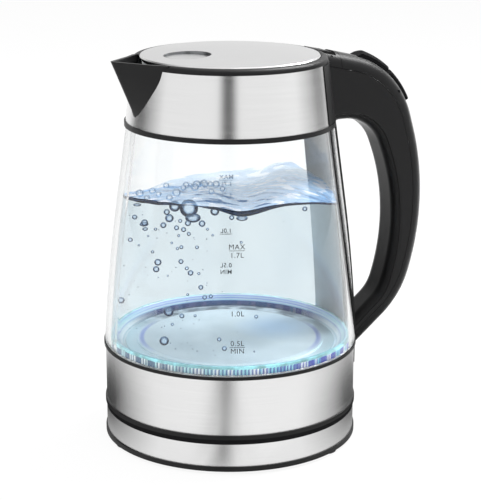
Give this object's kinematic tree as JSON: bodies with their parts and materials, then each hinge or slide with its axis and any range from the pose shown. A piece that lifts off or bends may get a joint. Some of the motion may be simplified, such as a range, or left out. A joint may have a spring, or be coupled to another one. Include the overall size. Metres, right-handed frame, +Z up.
{
  "type": "electric kettle",
  "caption": "Cordless glass electric kettle with steel bands, hinged lid, spout, D-shaped handle with lid button and switch, standing on a round power base.",
  "frame": {"origin": "on the jug's axis, on the surface the base stands on", "axes": "+Z up, +X towards the handle, -X towards the spout, +Y towards the side of the cord gland"},
  "size_m": [0.2198, 0.1627, 0.2481],
  "materials": {
    "black_plastic": "satin moulded",
    "brushed_steel": "brushed round",
    "plain_steel": "bright",
    "glass": "clear",
    "clear_plastic": "clear, lit blue",
    "silicone": "matt",
    "rubber": "matt",
    "aluminium": "plain",
    "contact_brass": "plain",
    "circuit_board": "matt",
    "lamp": "clear",
    "wire": "matt"
  },
  "bodies": {
    "base": {"base_bottom_cover": "black_plastic", "base_top_cover": "black_plastic", "base_steel_wrap": "brushed_steel", "base_cover_screws": "plain_steel", "cord_gland": "black_plastic", "base_foot_ring": "rubber", "base_coupler": "black_plastic", "base_coupler_contacts": "contact_brass"},
    "coupler": {"jug_coupler": "black_plastic", "jug_coupler_contacts": "contact_brass"},
    "jug": {"jug_bottom_cover": "black_plastic", "lower_steel_band": "brushed_steel", "lower_trim_ring": "black_plastic", "glass_seal_lower": "silicone", "light_ring": "clear_plastic", "plate_seal": "silicone", "heater_plate": "brushed_steel", "heat_spreader": "aluminium", "heater_element": "plain_steel", "control_unit": "black_plastic", "led_board": "circuit_board", "leds": "lamp", "glass_body": "glass", "pillar_liner": "brushed_steel", "handle_pillar": "black_plastic", "collar_lower_ring": "black_plastic", "glass_seal_upper": "silicone", "upper_steel_collar": "brushed_steel", "top_frame": "black_plastic", "spout_filter": "plain_steel", "handle_spine_cover": "black_plastic", "hinge_cover": "black_plastic", "handle_inner_cover": "black_plastic", "handle_shell": "black_plastic", "handle_screws": "plain_steel", "steam_switch": "black_plastic", "switch_wires": "wire", "latch_spring": "plain_steel", "lid_hinge_pin": "plain_steel", "power_switch_pin": "plain_steel"},
    "lid": {"lid_cover": "brushed_steel", "lid_frame": "black_plastic", "lid_inner_plate": "brushed_steel", "lid_screws": "plain_steel", "lid_seal": "silicone"},
    "lid_button": {"lid_button": "black_plastic"},
    "latch": {"latch_slider": "black_plastic"},
    "power_switch": {"power_switch": "black_plastic"}
  },
  "joints": [
    {"name": "kettle_lift", "type": "slide", "parent": "base", "child": "coupler", "axis": [0, 0, 1], "range_m": [0, 0.06]},
    {"name": "kettle_swivel", "type": "hinge", "parent": "coupler", "child": "jug", "pos_m": [0, 0, 0], "axis": [0, 0, 1], "continuous": true},
    {"name": "lid_hinge", "type": "hinge", "parent": "jug", "child": "lid", "pos_m": [0.0665, 0, 0.2408], "axis": [0, 1, 0], "range_deg": [0, 75]},
    {"name": "lid_button_press", "type": "slide", "parent": "jug", "child": "lid_button", "axis": [-0.4818, 0, -0.8763], "range_m": [0, 0.003], "stiffness_N_per_m": 400},
    {"name": "latch_slide", "type": "slide", "parent": "jug", "child": "latch", "axis": [1, 0, 0], "range_m": [0, 0.003], "deforming": ["latch_spring"]},
    {"name": "power_switch_rock", "type": "hinge", "parent": "jug", "child": "power_switch", "pos_m": [0.11657, 0, 0.21548], "axis": [0, 1, 0], "range_deg": [0, 7]}
  ],
  "couplings": [
    {"joint": "latch_slide", "follows": "lid_button_press", "ratio": 1}
  ]
}
